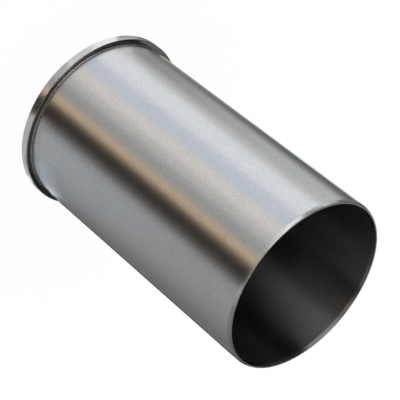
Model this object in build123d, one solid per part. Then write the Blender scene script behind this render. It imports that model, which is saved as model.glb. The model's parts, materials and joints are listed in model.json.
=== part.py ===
import os
from math import isclose

from build123d import *

# A flanged dry cylinder liner: one thin-walled sleeve, turned, ground outside and honed inside.
# It stands on its flange: the deck face lies on z = 0 and the plain end is up, on the Z axis.

# Driving dimensions, in millimetres. The flange step is how far it stands out all round.
overall_length = 165.5
bore_diameter = 91.0
wall_thickness = 2.0
flange_step = 2.5
flange_thickness = 4.9

# Undercut that lets the grinding wheel run out between the outer surface and the flange.
undercut_width = 2.1
undercut_depth = 0.3
undercut_root_radius = 0.25
undercut_edge_break = 0.12

# Plain end: the outer taper starts the liner in its block, and the inner one clears the piston.
lead_in_length = 1.6
lead_in_depth = 0.6
bore_taper_length = 1.6
bore_taper_depth = 0.6

# Edges broken by the turning tool.
flange_edge_break = 0.35
deck_bore_break = 0.5

# Radii and heights that follow from the sizes above.
bore_radius = bore_diameter / 2
outer_radius = bore_radius + wall_thickness
flange_radius = outer_radius + flange_step
undercut_radius = outer_radius - undercut_depth
undercut_top = flange_thickness + undercut_width


def ring_section(inner_radius, ring_radius, low, high):
    # One side of a ring, cut through the axis: a rectangle from one radius to the other.
    middle = Pos((inner_radius + ring_radius) / 2, (low + high) / 2)
    return middle * Rectangle(ring_radius - inner_radius, high - low)


def sleeve_section():
    # The half section that the lathe leaves: wall and flange, less the undercut at their corner.
    wall = ring_section(bore_radius, outer_radius, 0, overall_length)
    flange = ring_section(bore_radius, flange_radius, 0, flange_thickness)
    undercut = ring_section(undercut_radius, outer_radius, flange_thickness, undercut_top)
    return wall + flange - undercut


def circle_at(solid, radius, height):
    # The circular edge of that radius at that height.
    circles = solid.edges().filter_by(GeomType.CIRCLE)
    at_height = circles.filter_by(lambda edge: isclose(edge.center().Z, height, abs_tol=1e-4))
    return at_height.filter_by(lambda edge: isclose(edge.radius, radius, abs_tol=1e-4))


def face_at(solid, height):
    # The flat ring that faces along the axis at that height.
    flats = solid.faces().filter_by(GeomType.PLANE)
    return flats.filter_by(lambda face: isclose(face.center().Z, height, abs_tol=1e-4))[0]


def undercut_corners(solid):
    # A root radius under the flange, and a broken edge where the ground surface begins.
    root = circle_at(solid, undercut_radius, flange_thickness)
    rooted = fillet(root, undercut_root_radius)
    edge = circle_at(rooted, outer_radius, undercut_top)
    return chamfer(edge, undercut_edge_break)


def plain_end_tapers(solid):
    # Both tapers are measured inwards on the end face and down along the wall.
    outer_edge = circle_at(solid, outer_radius, overall_length)
    end_face = face_at(solid, overall_length)
    led_in = chamfer(outer_edge, lead_in_depth, lead_in_length, reference=end_face)
    inner_edge = circle_at(led_in, bore_radius, overall_length)
    end_face = face_at(led_in, overall_length)
    return chamfer(inner_edge, bore_taper_depth, bore_taper_length, reference=end_face)


def flange_edges(solid):
    # The flange's two outer edges, and the mouth of the bore in its deck face.
    outer_edges = circle_at(solid, flange_radius, 0) + circle_at(solid, flange_radius, flange_thickness)
    broken = chamfer(outer_edges, flange_edge_break)
    return chamfer(circle_at(broken, bore_radius, 0), deck_bore_break)


def make_liner():
    turned = revolve(Plane.XZ * sleeve_section(), Axis.Z)
    relieved = undercut_corners(turned)
    tapered = plain_end_tapers(relieved)
    return flange_edges(tapered)


os.makedirs("parts", exist_ok=True)
liner = make_liner()
export_step(liner, "parts/liner.step")
print("liner volume", round(liner.volume, 1), "mm3")
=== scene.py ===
import json
from math import cos, pi, radians, sin, tan

import bpy
from mathutils import Matrix, Vector


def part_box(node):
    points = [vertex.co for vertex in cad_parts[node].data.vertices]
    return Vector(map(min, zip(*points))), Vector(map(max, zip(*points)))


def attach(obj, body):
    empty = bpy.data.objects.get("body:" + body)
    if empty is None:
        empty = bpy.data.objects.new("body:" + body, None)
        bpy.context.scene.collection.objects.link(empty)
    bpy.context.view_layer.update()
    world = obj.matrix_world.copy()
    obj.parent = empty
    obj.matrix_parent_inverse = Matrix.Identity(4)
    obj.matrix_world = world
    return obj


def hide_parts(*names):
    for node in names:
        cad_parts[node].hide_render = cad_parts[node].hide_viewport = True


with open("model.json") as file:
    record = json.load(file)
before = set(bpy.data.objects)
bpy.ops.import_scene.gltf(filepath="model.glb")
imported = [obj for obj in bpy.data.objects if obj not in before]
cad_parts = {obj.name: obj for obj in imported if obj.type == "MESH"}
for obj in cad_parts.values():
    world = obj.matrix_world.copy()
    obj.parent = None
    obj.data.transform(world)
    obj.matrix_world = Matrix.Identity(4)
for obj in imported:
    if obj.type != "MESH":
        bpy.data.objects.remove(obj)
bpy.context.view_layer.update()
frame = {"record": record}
print("frame loaded")

scene = bpy.context.scene
scene.view_settings.view_transform = "Standard"

millimetres = 1000.0  # in a metre

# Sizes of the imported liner, in metres.
boxLow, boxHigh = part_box("liner")
mounts = {mount["name"]: mount for mount in frame["record"]["mounts"]}


def mountRadius(name):
    return mounts[name]["dims"]["r_mm"] / millimetres


def mountEnd(name, side):
    # Where a round mount begins (side -1) or ends (side 1), measured up the axis.
    half = mounts[name]["dims"]["length_mm"] / 2 / millimetres
    return mounts[name]["pos_m"][2] + side * half


liner = {
    "length": boxHigh.z,
    "boreRadius": mountRadius("bore"),
    "boreLow": mountEnd("bore", -1),
    "boreHigh": mountEnd("bore", 1),
    "outerRadius": mountRadius("block_fit"),
    "groundLow": mountEnd("block_fit", -1),
    "groundHigh": mountEnd("block_fit", 1),
    "flangeRadius": boxHigh.x,
    "flangeThickness": mounts["flange_seat"]["pos_m"][2],
    "flangeBreak": 0.00035,
    "undercutDepth": 0.0003,
    "undercutEdge": 0.00012,
    "rootRadius": 0.00025,
    "taperDepth": 0.0006,  # of both tapers on the plain end
    "deckBreak": 0.0005,
    "edgeRound": 0.00009,  # what handling leaves on each turned edge
    "keenRound": 0.000045,  # on the edges beside the undercut
    "sharpRound": 0.00003,  # on the sharpest edges
    "endRound": 0.00034,  # on the plain end's outer edge, which is blunt
    "arcShare": 0.45,  # the most of a straight run that one corner's arc takes
    "roundSteps": 4,
    "columns": 360,
    "rowHeight": 0.006,
}

# Each finish: the metal's colour, how it scatters, and how strong each mark is. Spacings, sizes
# and depths of marks are in millimetres, and a shade is a share of the colour. What a finish
# doesn't name is as in plainMetal. Some finishes of the one steel are set darker or lighter than
# it: painted shade and painted highlights.
plainMetal = {
    "anisotropic": 0.5,
    "scatterTurn": 0.25,  # a quarter turn, so that the metal scatters along the axis
    "grazeSmooth": 0.0,  # the share of its roughness that it loses at a glancing angle
    "grazeFrom": 0.68,  # where that loss begins, with 1 for a surface seen edge on
    "grazeTo": 0.9,
    "grainSize": 0.7,
    "grainShade": 0.0,
    "lineSpacing": 0.3,
    "lineShade": 0.06,
    "lineRoughness": 0.02,
    "lineDepth": 0.0,
    "patchSize": 6.0,
    "patchShade": 0.05,
    "patchRoughness": 0.02,
    "pitShare": 0.05,
    "pitShade": 0.2,
    "hatchDepth": 0.0,
}
looks = {
    "turnedFace": {
        "colour": (0.58, 0.58, 0.58),
        "roughness": 0.16,
        "anisotropic": 0.4,
        "lineSpacing": 0.4,
        "lineShade": 0.08,
        "lineRoughness": 0.03,
        "lineDepth": 0.0002,
    },
    "flangeRim": {
        "colour": (0.64, 0.64, 0.64),
        "roughness": 0.21,
        "anisotropic": 0.6,
        "lineSpacing": 0.35,
        "lineShade": 0.05,
        "lineDepth": 0.0003,
        "patchSize": 7.0,
        "patchRoughness": 0.012,
        "pitShare": 0.06,
    },
    # Painted shade: the seat is the same steel, given a far darker colour so that it reads dark.
    "flangeSeatPaintedShade": {
        "colour": (0.19, 0.186, 0.182),
        "roughness": 0.14,
        "lineSpacing": 0.5,
        "lineShade": 0.16,
        "patchRoughness": 0.01,
    },
    # Painted light: the undercut's neck is the same steel, given a lighter colour so that it reads bright.
    "turnedNeckPaintedLight": {
        "colour": (0.78, 0.755, 0.74),
        "roughness": 0.40,
        "anisotropic": 0.3,
        "grazeSmooth": 0.5,
        "lineSpacing": 0.35,
        "lineRoughness": 0.03,
        "patchShade": 0.06,
    },
    # Painted highlight: the fillets in the undercut's inner corners get a near-white colour, for a bright
    # line at the flange's root.
    "filletPaintedHighlight": {
        "colour": (0.95, 0.93, 0.92),
        "roughness": 0.33,
        "anisotropic": 0.3,
        "lineSpacing": 0.35,
        "patchShade": 0.06,
    },
    "groundOutside": {
        "colour": (0.592, 0.594, 0.599),
        "roughness": 0.252,
        "anisotropic": 0.70,
        "grazeSmooth": 0.6,
        "grainSize": 0.75,
        "grainShade": 0.15,
        "lineSpacing": 0.22,
        "lineShade": 0.02,
        "lineRoughness": 0.004,
        "patchSize": 9.0,
        "patchShade": 0.03,
        "patchRoughness": 0.008,
        "pitShare": 0.06,
        "pitShade": 0.35,
    },
    "leadIn": {
        "colour": (0.58, 0.58, 0.585),
        "roughness": 0.22,
    },
    # Painted shade: the taper into the bore is the same steel, given a near-black colour so that it reads
    # dark.
    "boreTaperPaintedShade": {
        "colour": (0.145, 0.143, 0.141),
        "roughness": 0.24,
        "patchShade": 0.06,
    },
    # Partly painted shade: the bore's colour, about half the outside's, darkens the inside of the tube;
    # its hatch and marks are the honing's own.
    "honedBorePaintedShade": {
        "colour": (0.308, 0.306, 0.309),
        "roughness": 0.34,
        "anisotropic": 0.95,
        "lineSpacing": 0.5,
        "lineShade": 0.05,
        "patchSize": 14.0,
        "patchShade": 0.08,
        "patchRoughness": 0.03,
        "pitShare": 0.1,
        "pitShade": 0.25,
        "hatchSpacing": 0.35,
        "hatchShade": 0.10,
        "hatchDepth": 0.0003,
    },
    # Partly painted highlight: edges worn by handling, set lighter than the steel beside them so that they
    # read as light lines.
    "burnishedEdgeHighlight": {
        "colour": (0.70, 0.70, 0.70),
        "roughness": 0.22,
        "anisotropic": 0.4,
        "lineRoughness": 0.03,
        "patchSize": 5.0,
        "patchRoughness": 0.03,
        "pitShare": 0.04,
    },
}
finishes = list(looks)


def linerCorners():
    # The half section's corners, from the deck face out, up the outside and down the bore:
    # radius, height, how far the corner is rounded, and the finish of the run that follows.
    outer = liner["outerRadius"]
    rim = liner["flangeRadius"]
    bore = liner["boreRadius"]
    neck = outer - liner["undercutDepth"]
    seat = liner["flangeThickness"]
    top = liner["length"]
    rimBreak = liner["flangeBreak"]
    edge = liner["edgeRound"]
    keen = liner["keenRound"]
    sharp = liner["sharpRound"]
    shoulder = liner["groundLow"] - liner["undercutEdge"]
    return [
        (bore + liner["deckBreak"], 0, edge, "turnedFace"),
        (rim - rimBreak, 0, edge, "burnishedEdgeHighlight"),
        (rim, rimBreak, edge, "flangeRim"),
        (rim, seat - rimBreak, edge, "burnishedEdgeHighlight"),
        (rim - rimBreak, seat, edge, "flangeSeatPaintedShade"),
        (neck, seat, liner["rootRadius"], "turnedNeckPaintedLight"),
        (neck, shoulder, keen, "turnedNeckPaintedLight"),
        (outer - liner["undercutEdge"], shoulder, sharp, "turnedNeckPaintedLight"),
        (outer, liner["groundLow"], keen, "groundOutside"),
        (outer, liner["groundHigh"], edge, "leadIn"),
        (outer - liner["taperDepth"], top, liner["endRound"], "turnedFace"),
        (bore + liner["taperDepth"], top, sharp, "boreTaperPaintedShade"),
        (bore, liner["boreHigh"], sharp, "honedBorePaintedShade"),
        (bore, liner["boreLow"], edge, "turnedFace"),
    ]


def roundedCorner(before, corner, after, size, finish):
    # The arc that replaces a corner, as points of the section: place, normal, finish. It shrinks
    # where its corner's runs are too short for it.
    into = (corner - before).normalized()
    away = (after - corner).normalized()
    turn = into.x * away.y - into.y * away.x
    side = 1 if turn > 0 else -1
    angle = into.angle(away)
    shorter = min((corner - before).length, (after - corner).length)
    cut = min(size * tan(angle / 2), shorter * liner["arcShare"])
    size = cut / tan(angle / 2)
    outward = Vector((into.y, -into.x))
    centre = corner - into * cut - outward * size * side
    points = []
    for step in range(liner["roundSteps"] + 1):
        swing = side * angle * step / liner["roundSteps"]
        normal = Vector(
            (
                outward.x * cos(swing) - outward.y * sin(swing),
                outward.x * sin(swing) + outward.y * cos(swing),
            )
        )
        place = centre + normal * size * side
        # Outer corners take the edge finish and inner corners the fillet finish; both carry painted
        # highlights.
        points.append((place, normal, "burnishedEdgeHighlight" if side > 0 else "filletPaintedHighlight"))
    points[-1] = (points[-1][0], points[-1][1], finish)
    return points


def linerSection():
    # The whole closed section: arcs at the corners, and rows along the long runs between them.
    corners = linerCorners()
    section = []
    for index, (radius, height, size, finish) in enumerate(corners):
        before = Vector(corners[index - 1][:2])
        after = Vector(corners[(index + 1) % len(corners)][:2])
        arc = roundedCorner(before, Vector((radius, height)), after, size, finish)
        if section:
            addRows(section, arc[0])
        section.extend(arc)
    addRows(section, section[0])
    return section


def addRows(section, goal):
    # Rows between the section's last point and the next arc.
    place, normal, finish = section[-1]
    gap = goal[0] - place
    rows = int(gap.length / liner["rowHeight"])
    for row in range(1, rows + 1):
        section.append((place + gap * row / (rows + 1), normal, finish))


def turnedMesh(name, section):
    # Revolves the closed section about the Z axis, with exact normals and an unrolled UV map.
    columns = liner["columns"]
    count = len(section)
    places = []
    normals = []
    for column in range(columns):
        across = cos(2 * pi * column / columns)
        along = sin(2 * pi * column / columns)
        for place, normal, finish in section:
            places.append((place.x * across, place.x * along, place.y))
            normals.append((normal.x * across, normal.x * along, normal.y))
    distance = [0.0]
    for index in range(count):
        step = section[(index + 1) % count][0] - section[index][0]
        distance.append(distance[-1] + step.length)
    faces = []
    unrolled = []
    for column in range(columns):
        here = column * count
        there = (column + 1) % columns * count
        for index in range(count):
            above = (index + 1) % count
            faces.append((here + index, there + index, there + above, here + above))
            low = distance[index] / distance[-1]
            high = distance[index + 1] / distance[-1]
            left = column / columns
            right = (column + 1) / columns
            unrolled.extend([(left, low), (right, low), (right, high), (left, high)])
    mesh = bpy.data.meshes.new(name)
    mesh.from_pydata(places, [], faces)
    uvMap = mesh.uv_layers.new(name="unrolled")
    for loop, corner in enumerate(unrolled):
        uvMap.data[loop].uv = corner
    for polygon in mesh.polygons:
        polygon.use_smooth = True
        polygon.material_index = finishes.index(section[polygon.index % count][2])
    mesh.normals_split_custom_set_from_vertices(normals)
    return mesh


section = linerSection()
linerPiece = bpy.data.objects.new("linerTurned", turnedMesh("linerTurned", section))
scene.collection.objects.link(linerPiece)
print("liner turned:", len(section), "points in its section")


def addNode(tree, kind, x, y, values=None, **settings):
    # A node at a place in the editor, with its own settings and the values of its sockets.
    node = tree.nodes.new(kind)
    node.location = (x, y)
    for name, value in settings.items():
        setattr(node, name, value)
    for socket, value in (values or {}).items():
        node.inputs[socket].default_value = value
    return node


def newGroup(name, inputs, outputs):
    # A shader node group with number inputs and number outputs.
    tree = bpy.data.node_groups.new(name, "ShaderNodeTree")
    for label, value in inputs.items():
        socket = tree.interface.new_socket(label, in_out="INPUT", socket_type="NodeSocketFloat")
        socket.default_value = value
    for label in outputs:
        tree.interface.new_socket(label, in_out="OUTPUT", socket_type="NodeSocketFloat")
    entry = addNode(tree, "NodeGroupInput", -900, 0)
    leave = addNode(tree, "NodeGroupOutput", 900, 0)
    return tree, entry, leave


def compute(tree, operation, x, y, first, second=None):
    # One sum. Each term is a socket or a plain number.
    node = addNode(tree, "ShaderNodeMath", x, y, operation=operation)
    for slot, term in enumerate((first, second)):
        if isinstance(term, bpy.types.NodeSocket):
            tree.links.new(term, node.inputs[slot])
        elif term is not None:
            node.inputs[slot].default_value = term
    return node.outputs[0]


def spread(tree, x, y, mask, low, high, fromLow=0.0, fromHigh=1.0):
    # Turns a mask into a value between low and high.
    values = {"From Min": fromLow, "From Max": fromHigh, "To Min": low, "To Max": high}
    node = addNode(tree, "ShaderNodeMapRange", x, y, values)
    tree.links.new(mask, node.inputs["Value"])
    return node.outputs["Result"]


# How the marks are drawn. A range is the part of the noise that the mask spreads over 0 to 1.
drawnMarks = {
    "fineDetail": 3.0,
    "broadDetail": 2.0,
    "broadShare": 0.11,  # broad lines to each fine one
    "lineRange": (0.25, 0.75),
    "patchDetail": 2.5,
    "patchCoarseness": 0.45,
    "patchDistortion": 0.6,
    "patchRange": (0.3, 0.7),
    "pitEdge": 0.5,  # how far into a pit its shade reaches full strength
    "hatchDetail": 2.0,
    "hatchStretch": 0.02,  # how fast the scratches change up the bore, against across them
    "hatchRange": (0.7, 1.3),
}


def makeToolLines():
    # Lines that run round the liner: up its walls they follow one another by height, and across
    # its end faces by radius, as the wheel and the turning tool leave them.
    tree, entry, leave = newGroup("toolLines", {"Spacing": 0.3, "Around": 18.0}, ["Fine", "Broad"])
    place = addNode(tree, "ShaderNodeTexCoord", -900, 300)
    split = addNode(tree, "ShaderNodeSeparateXYZ", -700, 300)
    tree.links.new(place.outputs["Object"], split.inputs[0])
    squareX = compute(tree, "MULTIPLY", -500, 400, split.outputs["X"], split.outputs["X"])
    squareY = compute(tree, "MULTIPLY", -500, 250, split.outputs["Y"], split.outputs["Y"])
    radius = compute(tree, "SQRT", -200, 330, compute(tree, "ADD", -350, 330, squareX, squareY))
    run = compute(tree, "ADD", -50, 300, radius, split.outputs["Z"])
    scale = compute(tree, "DIVIDE", -500, -50, millimetres, entry.outputs["Spacing"])
    aroundX = compute(tree, "MULTIPLY", -300, 150, split.outputs["X"], entry.outputs["Around"])
    aroundY = compute(tree, "MULTIPLY", -300, 0, split.outputs["Y"], entry.outputs["Around"])
    fine = ("Fine", 1.0, drawnMarks["fineDetail"], 200)
    broad = ("Broad", drawnMarks["broadShare"], drawnMarks["broadDetail"], -100)
    for label, share, detail, y in (fine, broad):
        density = compute(tree, "MULTIPLY", -50, y - 150, scale, share)
        across = compute(tree, "MULTIPLY", 100, y, run, density)
        vector = addNode(tree, "ShaderNodeCombineXYZ", 300, y)
        tree.links.new(aroundX, vector.inputs["X"])
        tree.links.new(aroundY, vector.inputs["Y"])
        tree.links.new(across, vector.inputs["Z"])
        noise = addNode(tree, "ShaderNodeTexNoise", 500, y, {"Scale": 1.0, "Detail": detail})
        tree.links.new(vector.outputs[0], noise.inputs["Vector"])
        lines = spread(tree, 700, y, noise.outputs[0], 0, 1, *drawnMarks["lineRange"])
        tree.links.new(lines, leave.inputs[label])
    return tree


def makeHandlingMarks():
    # Soft patches that oil and hands leave on ground metal. Drawn small, they are its grain.
    tree, entry, leave = newGroup("handlingMarks", {"Size": 10.0}, ["Patches"])
    place = addNode(tree, "ShaderNodeTexCoord", -600, 150)
    scale = compute(tree, "DIVIDE", -600, -50, millimetres, entry.outputs["Size"])
    values = {
        "Detail": drawnMarks["patchDetail"],
        "Roughness": drawnMarks["patchCoarseness"],
        "Distortion": drawnMarks["patchDistortion"],
    }
    noise = addNode(tree, "ShaderNodeTexNoise", -300, 100, values)
    tree.links.new(place.outputs["Object"], noise.inputs["Vector"])
    tree.links.new(scale, noise.inputs["Scale"])
    patches = spread(tree, 300, 100, noise.outputs[0], 0, 1, *drawnMarks["patchRange"])
    tree.links.new(patches, leave.inputs["Patches"])
    return tree


def makeTinyPits():
    # Open graphite pits of cast iron: small dark dots, in only a share of the cells.
    tree, entry, leave = newGroup("tinyPits", {"Spacing": 1.2, "Size": 0.21, "Share": 0.15}, ["Pits"])
    place = addNode(tree, "ShaderNodeTexCoord", -900, 200)
    scale = compute(tree, "DIVIDE", -600, -50, millimetres, entry.outputs["Spacing"])
    cells = addNode(tree, "ShaderNodeTexVoronoi", -300, 100)
    tree.links.new(place.outputs["Object"], cells.inputs["Vector"])
    tree.links.new(scale, cells.inputs["Scale"])
    chance = addNode(tree, "ShaderNodeSeparateColor", -100, -50)
    tree.links.new(cells.outputs["Color"], chance.inputs[0])
    chosen = compute(tree, "LESS_THAN", 100, -50, chance.outputs[0], entry.outputs["Share"])
    reach = compute(tree, "DIVIDE", -300, -200, entry.outputs["Size"], entry.outputs["Spacing"])
    away = compute(tree, "DIVIDE", -50, 150, cells.outputs["Distance"], reach)
    inside = compute(tree, "SUBTRACT", 100, 150, 1.0, away)
    dot = spread(tree, 300, 150, inside, 0, 1, 0.0, drawnMarks["pitEdge"])
    tree.links.new(compute(tree, "MULTIPLY", 500, 50, dot, chosen), leave.inputs["Pits"])
    return tree


def makeHoneHatch():
    # Two sets of fine scratches that climb the bore both ways. Each set is plain noise,
    # in a space that is twisted about the axis so that its lines become helices.
    tree, entry, leave = newGroup("honeHatch", {"Spacing": 0.4, "Twist": 22.0}, ["Hatch"])
    place = addNode(tree, "ShaderNodeTexCoord", -900, 200)
    split = addNode(tree, "ShaderNodeSeparateXYZ", -700, 200)
    tree.links.new(place.outputs["Object"], split.inputs[0])
    scale = compute(tree, "DIVIDE", -600, -100, millimetres, entry.outputs["Spacing"])
    climb = compute(tree, "MULTIPLY", -500, 50, split.outputs["Z"], entry.outputs["Twist"])
    sets = []
    for way, y in ((1.0, 200), (-1.0, -200)):
        turn = addNode(tree, "ShaderNodeVectorRotate", -100, y, rotation_type="Z_AXIS")
        flat = addNode(tree, "ShaderNodeCombineXYZ", -300, y + 50)
        stretch = drawnMarks["hatchStretch"]
        height = compute(tree, "MULTIPLY", -300, y - 100, split.outputs["Z"], stretch)
        tree.links.new(split.outputs["X"], flat.inputs["X"])
        tree.links.new(split.outputs["Y"], flat.inputs["Y"])
        tree.links.new(height, flat.inputs["Z"])
        tree.links.new(flat.outputs[0], turn.inputs["Vector"])
        tree.links.new(compute(tree, "MULTIPLY", -300, y - 50, climb, way), turn.inputs["Angle"])
        noise = addNode(tree, "ShaderNodeTexNoise", 150, y, {"Detail": drawnMarks["hatchDetail"]})
        tree.links.new(turn.outputs[0], noise.inputs["Vector"])
        tree.links.new(scale, noise.inputs["Scale"])
        sets.append(noise.outputs[0])
    both = compute(tree, "ADD", 350, 0, sets[0], sets[1])
    hatch = spread(tree, 550, 0, both, 0, 1, *drawnMarks["hatchRange"])
    tree.links.new(hatch, leave.inputs["Hatch"])
    return tree


toolLines = makeToolLines()
handlingMarks = makeHandlingMarks()
tinyPits = makeTinyPits()
honeHatch = makeHoneHatch()
print("finish groups made")


def placeGroup(tree, group, x, y, values):
    return addNode(tree, "ShaderNodeGroup", x, y, values, node_tree=group)


def shadeAbout(tree, x, y, mask, strength):
    # A shade that follows a mask, as far below 1 as above it.
    return spread(tree, x, y, mask, 1 - strength / 2, 1 + strength / 2)


def shadeColour(tree, x, y, colour, shade):
    # Multiplies a colour by a shade that changes over the surface.
    node = addNode(tree, "ShaderNodeMix", x, y, data_type="RGBA", blend_type="MULTIPLY")
    node.inputs["Factor"].default_value = 1.0
    tree.links.new(colour, node.inputs["A"])
    tree.links.new(shade, node.inputs["B"])
    return node.outputs["Result"]


def metalFinish(name):
    # One metal finish, from the shared groups with this finish's own values.
    look = {**plainMetal, **looks[name]}
    material = bpy.data.materials.new(name)
    material.use_nodes = True
    tree = material.node_tree
    tree.nodes.clear()
    lines = placeGroup(tree, toolLines, -1000, 300, {"Spacing": look["lineSpacing"]})
    marks = placeGroup(tree, handlingMarks, -1000, 50, {"Size": look["patchSize"]})
    pits = placeGroup(tree, tinyPits, -1000, -150, {"Share": look["pitShare"]})
    grain = placeGroup(tree, handlingMarks, -1000, -650, {"Size": look["grainSize"]})
    fine = lines.outputs["Fine"]
    patches = marks.outputs["Patches"]
    shades = [
        shadeAbout(tree, -750, 400, fine, look["lineShade"]),
        shadeAbout(tree, -750, 250, lines.outputs["Broad"], look["lineShade"]),
        shadeAbout(tree, -750, 50, patches, look["patchShade"]),
        spread(tree, -750, -150, pits.outputs["Pits"], 1, 1 - look["pitShade"]),
        shadeAbout(tree, -750, -650, grain.outputs["Patches"], look["grainShade"]),
    ]
    height = fine
    depth = look["lineDepth"]
    if look["hatchDepth"] > 0:
        hatch = placeGroup(tree, honeHatch, -1000, -400, {"Spacing": look["hatchSpacing"]})
        height = hatch.outputs["Hatch"]
        depth = look["hatchDepth"]
        shades.append(shadeAbout(tree, -750, -400, height, look["hatchShade"]))
    colour = addNode(tree, "ShaderNodeRGB", -750, 600)
    colour.outputs[0].default_value = (*look["colour"], 1)
    shaded = colour.outputs[0]
    for step, shade in enumerate(shades):
        shaded = shadeColour(tree, -500 + 120 * step, 500 - 40 * step, shaded, shade)
    lineHalf = look["lineRoughness"] / 2
    patchHalf = look["patchRoughness"] / 2
    lineRough = spread(tree, -500, 100, fine, -lineHalf, lineHalf)
    patchRough = spread(tree, -500, -100, patches, patchHalf, -patchHalf)
    marked = compute(tree, "ADD", -350, 50, lineRough, patchRough)
    rough = compute(tree, "ADD", -200, 50, marked, look["roughness"])
    if look["grazeSmooth"] > 0:
        # Ground metal mirrors more sharply at a glancing angle.
        facing = addNode(tree, "ShaderNodeLayerWeight", -500, -300).outputs["Facing"]
        least = 1 - look["grazeSmooth"]
        smooth = spread(tree, -300, -300, facing, 1, least, look["grazeFrom"], look["grazeTo"])
        rough = compute(tree, "MULTIPLY", 0, -50, rough, smooth)
    values = {
        "Metallic": 1.0,
        "Anisotropic": look["anisotropic"],
        "Anisotropic Rotation": look["scatterTurn"],
    }
    shader = addNode(tree, "ShaderNodeBsdfPrincipled", 300, 200, values)
    if depth > 0:
        values = {"Strength": 1.0, "Distance": depth / millimetres}
        bump = addNode(tree, "ShaderNodeBump", 100, -100, values)
        tree.links.new(height, bump.inputs["Height"])
        tree.links.new(bump.outputs[0], shader.inputs["Normal"])
    tangent = addNode(tree, "ShaderNodeTangent", 100, -300, direction_type="RADIAL", axis="Z")
    tree.links.new(tangent.outputs[0], shader.inputs["Tangent"])
    tree.links.new(shaded, shader.inputs["Base Color"])
    tree.links.new(rough, shader.inputs["Roughness"])
    output = addNode(tree, "ShaderNodeOutputMaterial", 600, 200)
    tree.links.new(shader.outputs[0], output.inputs["Surface"])
    return material


for name in finishes:
    linerPiece.data.materials.append(metalFinish(name))

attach(linerPiece, "root")
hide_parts("liner")
print("finishes on the liner:", len(finishes))

floor = {
    "halfWidth": 4.0,
    "colour": (0.92, 0.92, 0.92),
    "shadowDepth": 0.06,  # how much of the real shadow the white ground keeps
}


def makeFloor():
    # A pale floor, white to the camera apart from the liner's shadow, and clear from below.
    half = floor["halfWidth"]
    corners = [(-half, -half, 0), (half, -half, 0), (half, half, 0), (-half, half, 0)]
    mesh = bpy.data.meshes.new("floor")
    mesh.from_pydata(corners, [], [(0, 1, 2, 3)])
    piece = bpy.data.objects.new("floor", mesh)
    scene.collection.objects.link(piece)
    piece.visible_glossy = False
    material = bpy.data.materials.new("paleFloor")
    material.use_nodes = True
    tree = material.node_tree
    tree.nodes.clear()
    plain = addNode(tree, "ShaderNodeBsdfDiffuse", -300, 0, {"Color": (*floor["colour"], 1)})
    white = addNode(tree, "ShaderNodeEmission", -300, 200, {"Strength": 1.0})
    path = addNode(tree, "ShaderNodeLightPath", -700, 400)
    seen = path.outputs["Is Camera Ray"]
    share = compute(tree, "MULTIPLY", -300, 400, seen, 1 - floor["shadowDepth"])
    ground = addNode(tree, "ShaderNodeMixShader", 0, 200)
    tree.links.new(share, ground.inputs[0])
    tree.links.new(plain.outputs[0], ground.inputs[1])
    tree.links.new(white.outputs[0], ground.inputs[2])
    side = addNode(tree, "ShaderNodeNewGeometry", -300, 700)
    under = compute(tree, "MULTIPLY", 0, 500, side.outputs["Backfacing"], seen)
    clear = addNode(tree, "ShaderNodeBsdfTransparent", 0, 50)
    whole = addNode(tree, "ShaderNodeMixShader", 250, 200)
    tree.links.new(under, whole.inputs[0])
    tree.links.new(ground.outputs[0], whole.inputs[1])
    tree.links.new(clear.outputs[0], whole.inputs[2])
    output = addNode(tree, "ShaderNodeOutputMaterial", 500, 200)
    tree.links.new(whole.outputs[0], output.inputs["Surface"])
    mesh.materials.append(material)


makeFloor()


def grey(level):
    return (level, level, level)
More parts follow.
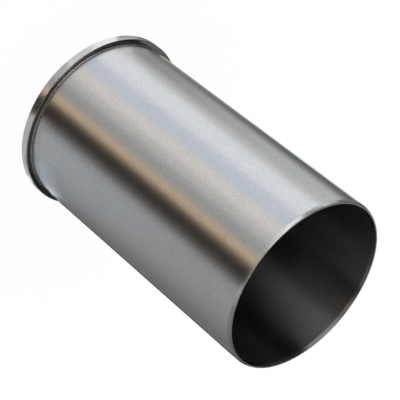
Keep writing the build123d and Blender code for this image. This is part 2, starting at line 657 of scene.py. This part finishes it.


# What the bright metal mirrors: cards on a tent round the liner, a glowing ring close to its
# flange that is painted as a pale table with its light and shade, and a ring of cards above its
# bore. Only reflections see them. Angles are in degrees: across from the camera's side towards
# the left, and up from level. Each card is laid over the ones before it, and fades out over its
# soft edge.
tent = {
    "radius": 3.0,
    "columns": 720,
    "rows": 90,
    "ground": (0.405, 0.41, 0.415),
}
cards = {
    "farLeftShade": {"across": (114, 190), "soft": 80, "colour": (0.19, 0.192, 0.197)},
    "lowLeftCard": {"across": (60, 158), "up": (-90, -43), "soft": 8, "colour": (0.70, 0.75, 0.80)},
    "barTail": {"across": (33, 48), "soft": 10, "colour": (0.10, 0.088, 0.076)},
    "darkBar": {"across": (20, 39.6), "soft": 8, "colour": (0.026, 0.020, 0.014)},
    "brownEdge": {"across": (17, 25), "soft": 6, "colour": (0.30, 0.20, 0.11), "cover": 0.5},
    "warmBar": {"across": (7, 18.3), "soft": 6, "colour": (0.79, 0.605, 0.405)},
    "frontGrey": {"across": (-16, 7), "soft": 6, "colour": (0.465, 0.465, 0.455)},
    "frontRise": {"across": (-28, -9), "soft": 10, "colour": (0.72, 0.71, 0.69)},
    "creamCard": {"across": (-41, -22), "soft": 7, "colour": (1.00, 0.94, 0.87)},
    "blueCard": {"across": (-62, -39), "soft": 10, "colour": (0.80, 0.87, 0.97)},
    "sideGrey": {"across": (-137, -98), "up": (-90, -18), "soft": 10, "colour": (0.29, 0.295, 0.28)},
    "sideUpper": {"across": (-128, -106), "up": (-37, -16), "soft": 8, "colour": (0.74, 0.765, 0.77)},
    "sideLow": {"across": (-142, -111), "up": (-90, -43), "soft": 8, "colour": (0.20, 0.20, 0.19)},
    "sideStep": {"across": (-108.5, -90), "up": (-90, -0.5), "soft": 4, "colour": (0.74, 0.75, 0.75)},
    "softbox": {"across": (-94, -60), "up": (-90, 1.5), "soft": 4, "colour": (1.12, 1.14, 1.16)},
    "softCorner": {"across": (-97, -89.5), "up": (-36.5, -12), "soft": 4, "colour": (0.82, 0.825, 0.83)},
    "greenGrey": {"across": (-170, -136), "up": (-90, -16), "soft": 12, "colour": (0.245, 0.24, 0.198)},
    "greenUpper": {"across": (-160, -140), "up": (-36, -8), "soft": 8, "colour": (0.15, 0.142, 0.117)},
    "edgeLight": {"across": (-184, -159.5), "up": (-90, -8), "soft": 16, "colour": (0.55, 0.715, 0.82)},
    "edgeShade": {"across": (159.5, 184), "soft": 6, "colour": grey(0.04)},
    "leftVeil": {"across": (14, 178), "up": (-14, 90), "soft": 10, "colour": grey(0.05), "cover": 0.35},
    "rightVeil": {"across": (-182, -106), "up": (-16, 90), "soft": 8, "colour": grey(0.05), "cover": 0.6},
    "boreSide": {"across": (-56, -32), "up": (4, 16), "soft": 7, "colour": (1.50, 1.48, 1.45)},
    "boreRise": {"across": (40, 66), "up": (3, 24), "soft": 8, "colour": (0.60, 0.585, 0.575)},
    "rightCeiling": {"across": (-184, -58), "up": (5, 90), "soft": 6, "colour": grey(0.025)},
    "ceiling": {"across": (-58, 180), "up": (22, 90), "soft": 8, "colour": grey(0.05)},
    "faceFar": {"across": (150, 180.5), "up": (18, 29.8), "soft": 2, "colour": grey(0.01)},
    "faceFarRight": {"across": (180.5, 200), "up": (18, 29.8), "soft": 2, "colour": grey(0.43)},
    "faceNear": {"across": (176.4, 200), "up": (29.8, 34), "soft": 2, "colour": grey(0.26)},
    "faceLeft": {"across": (176.4, 179.5), "up": (29.8, 34), "soft": 2, "colour": grey(0.95)},
    "faceEdge": {"across": (160, 176.4), "up": (29.8, 34), "soft": 2, "colour": grey(0.12)},
    "leftSeatShade": {"across": (130, 179), "up": (36, 60), "soft": 3, "colour": grey(0.07)},
    "seatLeft": {"across": (44, 125), "up": (33, 47), "soft": 4, "colour": (0.40, 0.39, 0.385)},
    "seatGlint": {"across": (-27, -7), "up": (33, 47), "soft": 4, "colour": grey(0.08)},
    "rightSeatCard": {"across": (-179, -150), "up": (36, 47), "soft": 3, "colour": grey(0.60)},
    "chamferCard": {"across": (-60, -28), "up": (50, 57), "soft": 2, "colour": (0.4, 0.4, 0.39)},
    "chamferGlint": {"across": (-32, -9), "up": (49, 58), "soft": 3, "colour": (0.35, 0.345, 0.34)},
    "overhead": {"up": (72, 90), "soft": 10, "colour": grey(0.6)},
}

# A glowing ring close to the flange, painted as the pale table that its rim and neck mirror: its
# patches are painted reflections, and the dark ones painted shade beside the flange. Its patches
# begin (from) and end (out) so many millimetres beyond its inner edge.
table = {
    "height": -0.0002,
    "inner": 0.0495,
    "outer": 0.082,
    "rows": 33,
    "columns": 360,
    "fadeFrom": 0.7,  # a patch's ends fade over the last part of their reach
}
patches = {
    "rightBody": {"across": (-85, -64), "from": 1.4, "out": 7.5, "soft": 8, "colour": (0.35, 0.355, 0.34)},
    "rightShade": {"across": (-88, -65), "out": 1.5, "soft": 5, "colour": (0.09, 0.095, 0.09)},
    "rightFar": {"across": (-97, -84), "out": 9, "soft": 5, "colour": (0.14, 0.15, 0.145)},
    "rightEdge": {"across": (-114, -96), "out": 8, "soft": 6, "colour": (0.50, 0.56, 0.54)},
    "sideSheet": {"across": (-70, -53), "out": 7, "soft": 5, "colour": (0.46, 0.47, 0.46)},
    "sideFar": {"across": (-66, -50), "from": 3.6, "out": 10, "soft": 5, "colour": (0.85, 0.86, 0.86)},
    "rightSheet": {"across": (-53, -37), "out": 8, "soft": 4, "colour": (1.19, 1.19, 1.20)},
    "midSheet": {"across": (-34, -17), "out": 6, "soft": 6, "colour": (0.84, 0.80, 0.78), "cover": 0.5},
    "frontSheet": {"across": (-15, -4), "out": 6, "soft": 5, "colour": (0.62, 0.59, 0.56)},
    "barSheet": {"across": (14.6, 19.1), "out": 6, "soft": 4, "colour": (0.078, 0.071, 0.064)},
    "leftSheet": {"across": (25, 54), "out": 8, "soft": 4, "colour": (0.60, 0.605, 0.61)},
    "neckShade": {"across": (60, 84), "from": 2.6, "out": 4.4, "soft": 6, "colour": grey(0.12)},
    "farSheet": {"across": (51, 71), "out": 3.6, "soft": 4, "colour": (0.61, 0.63, 0.645)},
    "leftBright": {"across": (63, 99), "from": 4.4, "out": 24, "soft": 5, "colour": (0.53, 0.57, 0.615)},
    "leftLip": {"across": (89, 106), "from": 5.8, "out": 11.8, "soft": 6, "colour": (0.76, 0.80, 0.84)},
    "leftShade": {"across": (91, 112), "out": 5.6, "soft": 6, "colour": (0.035, 0.035, 0.036)},
    "leftShadeFar": {"across": (100, 118), "out": 9.8, "soft": 5, "colour": (0.05, 0.05, 0.052)},
    "leftRim": {"across": (69, 93), "out": 2.6, "soft": 5, "colour": (0.52, 0.59, 0.60)},
    "leftGlint": {"across": (71.5, 79.5), "out": 2.6, "soft": 4, "colour": (1.02, 1.08, 1.11)},
}

# Cards on a wide ring above the open end, well clear of it. They give the bore its soft
# stripes, and each reaches from the ring's low edge up to its own high one.
boreRing = {
    "radius": 0.2,
    "low": 0.2205,
    "high": 0.3365,
    "fade": 0.016,
    "rows": 20,
    "columns": 360,
}
boreCards = {
    "boreFront": {"across": (-62.9, -29.7), "high": 0.264, "soft": 3, "colour": (2.3, 2.32, 2.40)},
    "boreStripe": {"across": (-38.6, -7.4), "high": 0.3365, "soft": 15, "colour": (3.0, 2.98, 3.0)},
    "boreNear": {"across": (-59.2, 34.1), "high": 0.25, "soft": 9, "colour": (3.3, 3.27, 3.3)},
    "boreStreak": {"across": (44.5, 60.7), "high": 0.3365, "soft": 10, "colour": (0.75, 0.73, 0.71)},
    "boreFar": {"across": (56.3, 102.8), "high": 0.268, "soft": 13, "colour": (0.43, 0.43, 0.44)},
}
layering = {
    "bare": 0.99,  # clearer than this, nothing lies under a layer
    "gain": 100,  # how fast a first layer's own colour then takes over as its cover grows
}


def fadeIn(value, start, end):
    share = min(max((value - start) / (end - start), 0), 1)
    return share * share * (3 - 2 * share)


def acrossCover(card, across):
    # How much of a card shows at an angle: all between its sides, fading over its soft edge.
    soft = card["soft"]
    left, right = card.get("across", (-360, 360))
    away = abs((across - (left + right) / 2 + 180) % 360 - 180)
    return 1 - fadeIn(away, (right - left) / 2 - soft / 2, (right - left) / 2 + soft / 2)


def cardCover(card, across, up):
    # The same in both directions. A card with no limits across or up goes all the way.
    soft = card["soft"]
    low, high = card.get("up", (-90, 90))
    cover = acrossCover(card, across)
    if low > -90:
        cover *= fadeIn(up, low - soft / 2, low + soft / 2)
    if high < 90:
        cover *= 1 - fadeIn(up, high - soft / 2, high + soft / 2)
    return cover * card.get("cover", 1)


def patchCover(patch, across, reach):
    # How much of a patch of table shows at an angle and a reach.
    fade = table["fadeFrom"]
    cover = acrossCover(patch, across) * (1 - fadeIn(reach, patch["out"] * fade, patch["out"]))
    if "from" in patch:
        cover *= fadeIn(reach, patch["from"] * fade, patch["from"])
    return cover * patch.get("cover", 1)


def boreCover(card, across, height):
    # How much of a card on the ring shows at an angle and a height.
    low = boreRing["low"]
    fade = boreRing["fade"]
    cover = acrossCover(card, across) * fadeIn(height, low, low + fade)
    return cover * (1 - fadeIn(height, card["high"] - fade, card["high"]))


def layOver(pieces, coverAt, across, level):
    # Lays cards over one another on nothing: their mixed colour, and how much they cover in all.
    colour = Vector(next(iter(pieces.values()))["colour"])
    clear = 1
    for piece in pieces.values():
        cover = coverAt(piece, across, level)
        weight = cover if clear < layering["bare"] else min(cover * layering["gain"], 1)
        colour = colour.lerp(Vector(piece["colour"]), weight)
        clear *= 1 - cover
    return (*colour, 1 - clear)


def makeGlowMaterial(name, inward):
    # Each point glows in its painted colour, and is as solid as its painted cover. A ring of
    # cards can glow inwards only, which is the back of its faces.
    material = bpy.data.materials.new(name)
    material.use_nodes = True
    material.cycles.emission_sampling = "NONE"
    tree = material.node_tree
    tree.nodes.clear()
    painted = addNode(tree, "ShaderNodeVertexColor", -300, 0, layer_name="glow")
    shine = addNode(tree, "ShaderNodeEmission", 0, -100)
    clear = addNode(tree, "ShaderNodeBsdfTransparent", 0, 100)
    mix = addNode(tree, "ShaderNodeMixShader", 250, 0)
    tree.links.new(painted.outputs["Color"], shine.inputs["Color"])
    cover = painted.outputs["Alpha"]
    if inward:
        side = addNode(tree, "ShaderNodeNewGeometry", -300, 300)
        cover = compute(tree, "MULTIPLY", 0, 300, cover, side.outputs["Backfacing"])
    tree.links.new(cover, mix.inputs[0])
    tree.links.new(clear.outputs[0], mix.inputs[1])
    tree.links.new(shine.outputs[0], mix.inputs[2])
    output = addNode(tree, "ShaderNodeOutputMaterial", 500, 0)
    tree.links.new(mix.outputs[0], output.inputs["Surface"])
    return material


glowMaterial = makeGlowMaterial("cardGlow", False)
inwardGlow = makeGlowMaterial("inwardGlow", True)


def makeMirrored(name, places, faces, glow, material=glowMaterial):
    # A stage piece that only mirrored rays see.
    mesh = bpy.data.meshes.new(name)
    mesh.from_pydata(places, [], faces)
    layer = mesh.color_attributes.new("glow", "FLOAT_COLOR", "POINT")
    for point, colour in zip(layer.data, glow):
        point.color = colour
    mesh.materials.append(material)
    piece = bpy.data.objects.new(name, mesh)
    scene.collection.objects.link(piece)
    piece.visible_camera = False
    piece.visible_diffuse = False
    piece.visible_transmission = False
    piece.visible_volume_scatter = False
    piece.visible_shadow = False


def makeMirroredGrid(name, size, rowAt, glowAt, material=glowMaterial):
    # A mirrored piece of rings about the axis. A row's share of the way gives its radius, its
    # height and its level, and an angle and that level give the colour that it glows in.
    columns = size["columns"]
    places = []
    glow = []
    faces = []
    for row in range(size["rows"] + 1):
        radius, height, level = rowAt(row / size["rows"])
        for column in range(columns):
            across = 360 * column / columns
            turn = radians(across)
            places.append((radius * cos(turn), radius * sin(turn), height))
            glow.append(glowAt(across, level))
    for row in range(size["rows"]):
        here = row * columns
        above = here + columns
        for column in range(columns):
            beside = (column + 1) % columns
            faces.append((here + column, here + beside, above + beside, above + column))
    makeMirrored(name, places, faces, glow, material)


def tentRow(share):
    # The tent's level is its angle up.
    up = -90 + 180 * share
    rise = tent["radius"] * sin(radians(up))
    return tent["radius"] * cos(radians(up)), liner["length"] / 2 + rise, up


def tentGlow(across, up):
    colour = Vector(tent["ground"])
    for card in cards.values():
        colour = colour.lerp(Vector(card["colour"]), cardCover(card, across, up))
    return (*colour, 1)


def tableRow(share):
    # The table's level is its reach beyond the inner edge, in millimetres.
    reach = (table["outer"] - table["inner"]) * share
    return table["inner"] + reach, table["height"], reach * millimetres


def tableGlow(across, reach):
    return layOver(patches, patchCover, across, reach)


def ringRow(share):
    height = boreRing["low"] + (boreRing["high"] - boreRing["low"]) * share
    return boreRing["radius"], height, height


def ringGlow(across, height):
    return layOver(boreCards, boreCover, across, height)


makeMirroredGrid("reflectorTent", tent, tentRow, tentGlow)
makeMirroredGrid("paintedTableReflection", table, tableRow, tableGlow)
makeMirroredGrid("boreRing", boreRing, ringRow, ringGlow, inwardGlow)
print("floor and reflector cards made:", len(cards), "and table patches:", len(patches))

# Painted shade: the shaded floor inside the tube, as a dark disc.
boreShade = {
    "radius": 0.0455,
    "height": -0.0008,
    "points": 48,
    "colour": (0.012, 0.011, 0.010),
}


def makeBoreShade():
    # Painted shade: a dark disc below the open flange end, for the bore to mirror, standing in for
    # the shaded floor inside the standing tube.
    count = boreShade["points"]
    radius = boreShade["radius"]
    places = []
    for step in range(count):
        turn = 2 * pi * step / count
        places.append((radius * cos(turn), radius * sin(turn), boreShade["height"]))
    glow = [(*boreShade["colour"], 1)] * count
    makeMirrored("boreShade", places, [tuple(range(count))], glow)


makeBoreShade()

topLamp = {
    "across": -60,
    "up": 74,
    "distance": 1.8,
    "size": 1.1,
    "power": 5.0,
}


def makeLamp(name, lamp):
    # A soft lamp for the floor. Its mirror image is left out: the cards stand in for it.
    light = bpy.data.lights.new(name, "AREA")
    light.size = lamp["size"]
    light.energy = lamp["power"]
    piece = bpy.data.objects.new(name, light)
    scene.collection.objects.link(piece)
    piece.visible_glossy = False
    turn = radians(lamp["across"])
    rise = radians(lamp["up"])
    away = Vector((cos(rise) * cos(turn), cos(rise) * sin(turn), sin(rise)))
    piece.location = away * lamp["distance"] + Vector((0, 0, liner["length"] / 2))
    piece.rotation_euler = away.to_track_quat("Z", "Y").to_euler()


makeLamp("topLamp", topLamp)

daylight = {
    "level": 1.0,
}


def makeWorld():
    # White to the camera and to mirrored and transmitted rays, and a plain soft light otherwise.
    world = bpy.data.worlds.new("paleStudio")
    scene.world = world
    world.use_nodes = True
    tree = world.node_tree
    tree.nodes.clear()
    path = addNode(tree, "ShaderNodeLightPath", -700, 200).outputs
    seen = compute(tree, "MAXIMUM", -450, 250, path["Is Camera Ray"], path["Is Glossy Ray"])
    seen = compute(tree, "MAXIMUM", -250, 200, seen, path["Is Transmission Ray"])
    backdrop = addNode(tree, "ShaderNodeBackground", -200, 0, {"Strength": 1.0})
    backdrop.inputs["Color"].default_value = (1, 1, 1, 1)
    soft = addNode(tree, "ShaderNodeBackground", -200, -200, {"Strength": daylight["level"]})
    soft.inputs["Color"].default_value = (1, 1, 1, 1)
    mix = addNode(tree, "ShaderNodeMixShader", 50, 100)
    tree.links.new(seen, mix.inputs[0])
    tree.links.new(soft.outputs[0], mix.inputs[1])
    tree.links.new(backdrop.outputs[0], mix.inputs[2])
    output = addNode(tree, "ShaderNodeOutputWorld", 300, 100)
    tree.links.new(mix.outputs[0], output.inputs["Surface"])


makeWorld()
print("lamps and world made")

camera = {
    "filmWidth": 36,  # millimetres, as is the lens
    "lens": 139.44,
    "nearest": 0.01,
    "farthest": 20,
    "elevation": 35.413,  # degrees above level
    "roll": 129.059,  # degrees: the photographed liner lies over, plain end down to the right
    "distance": 0.78472,
    "slideRight": 0.00202,
    "slideUp": -0.00115,
}


def makeCamera():
    data = bpy.data.cameras.new("photoCamera")
    data.sensor_width = camera["filmWidth"]
    data.lens = camera["lens"]
    data.clip_start = camera["nearest"]
    data.clip_end = camera["farthest"]
    piece = bpy.data.objects.new("photoCamera", data)
    scene.collection.objects.link(piece)
    rise = radians(camera["elevation"])
    roll = radians(camera["roll"])
    back = Vector((cos(rise), 0, sin(rise)))
    level = Vector((0, 1, 0))
    above = Vector((-sin(rise), 0, cos(rise)))
    right = level * cos(roll) + above * sin(roll)
    up = above * cos(roll) - level * sin(roll)
    middle = Vector((0, 0, (boxLow.z + boxHigh.z) / 2))
    place = middle + back * camera["distance"] + right * camera["slideRight"] + up * camera["slideUp"]
    turned = Matrix((right, up, back)).transposed().to_4x4()
    piece.matrix_world = Matrix.Translation(place) @ turned
    scene.camera = piece


makeCamera()
print("camera placed")
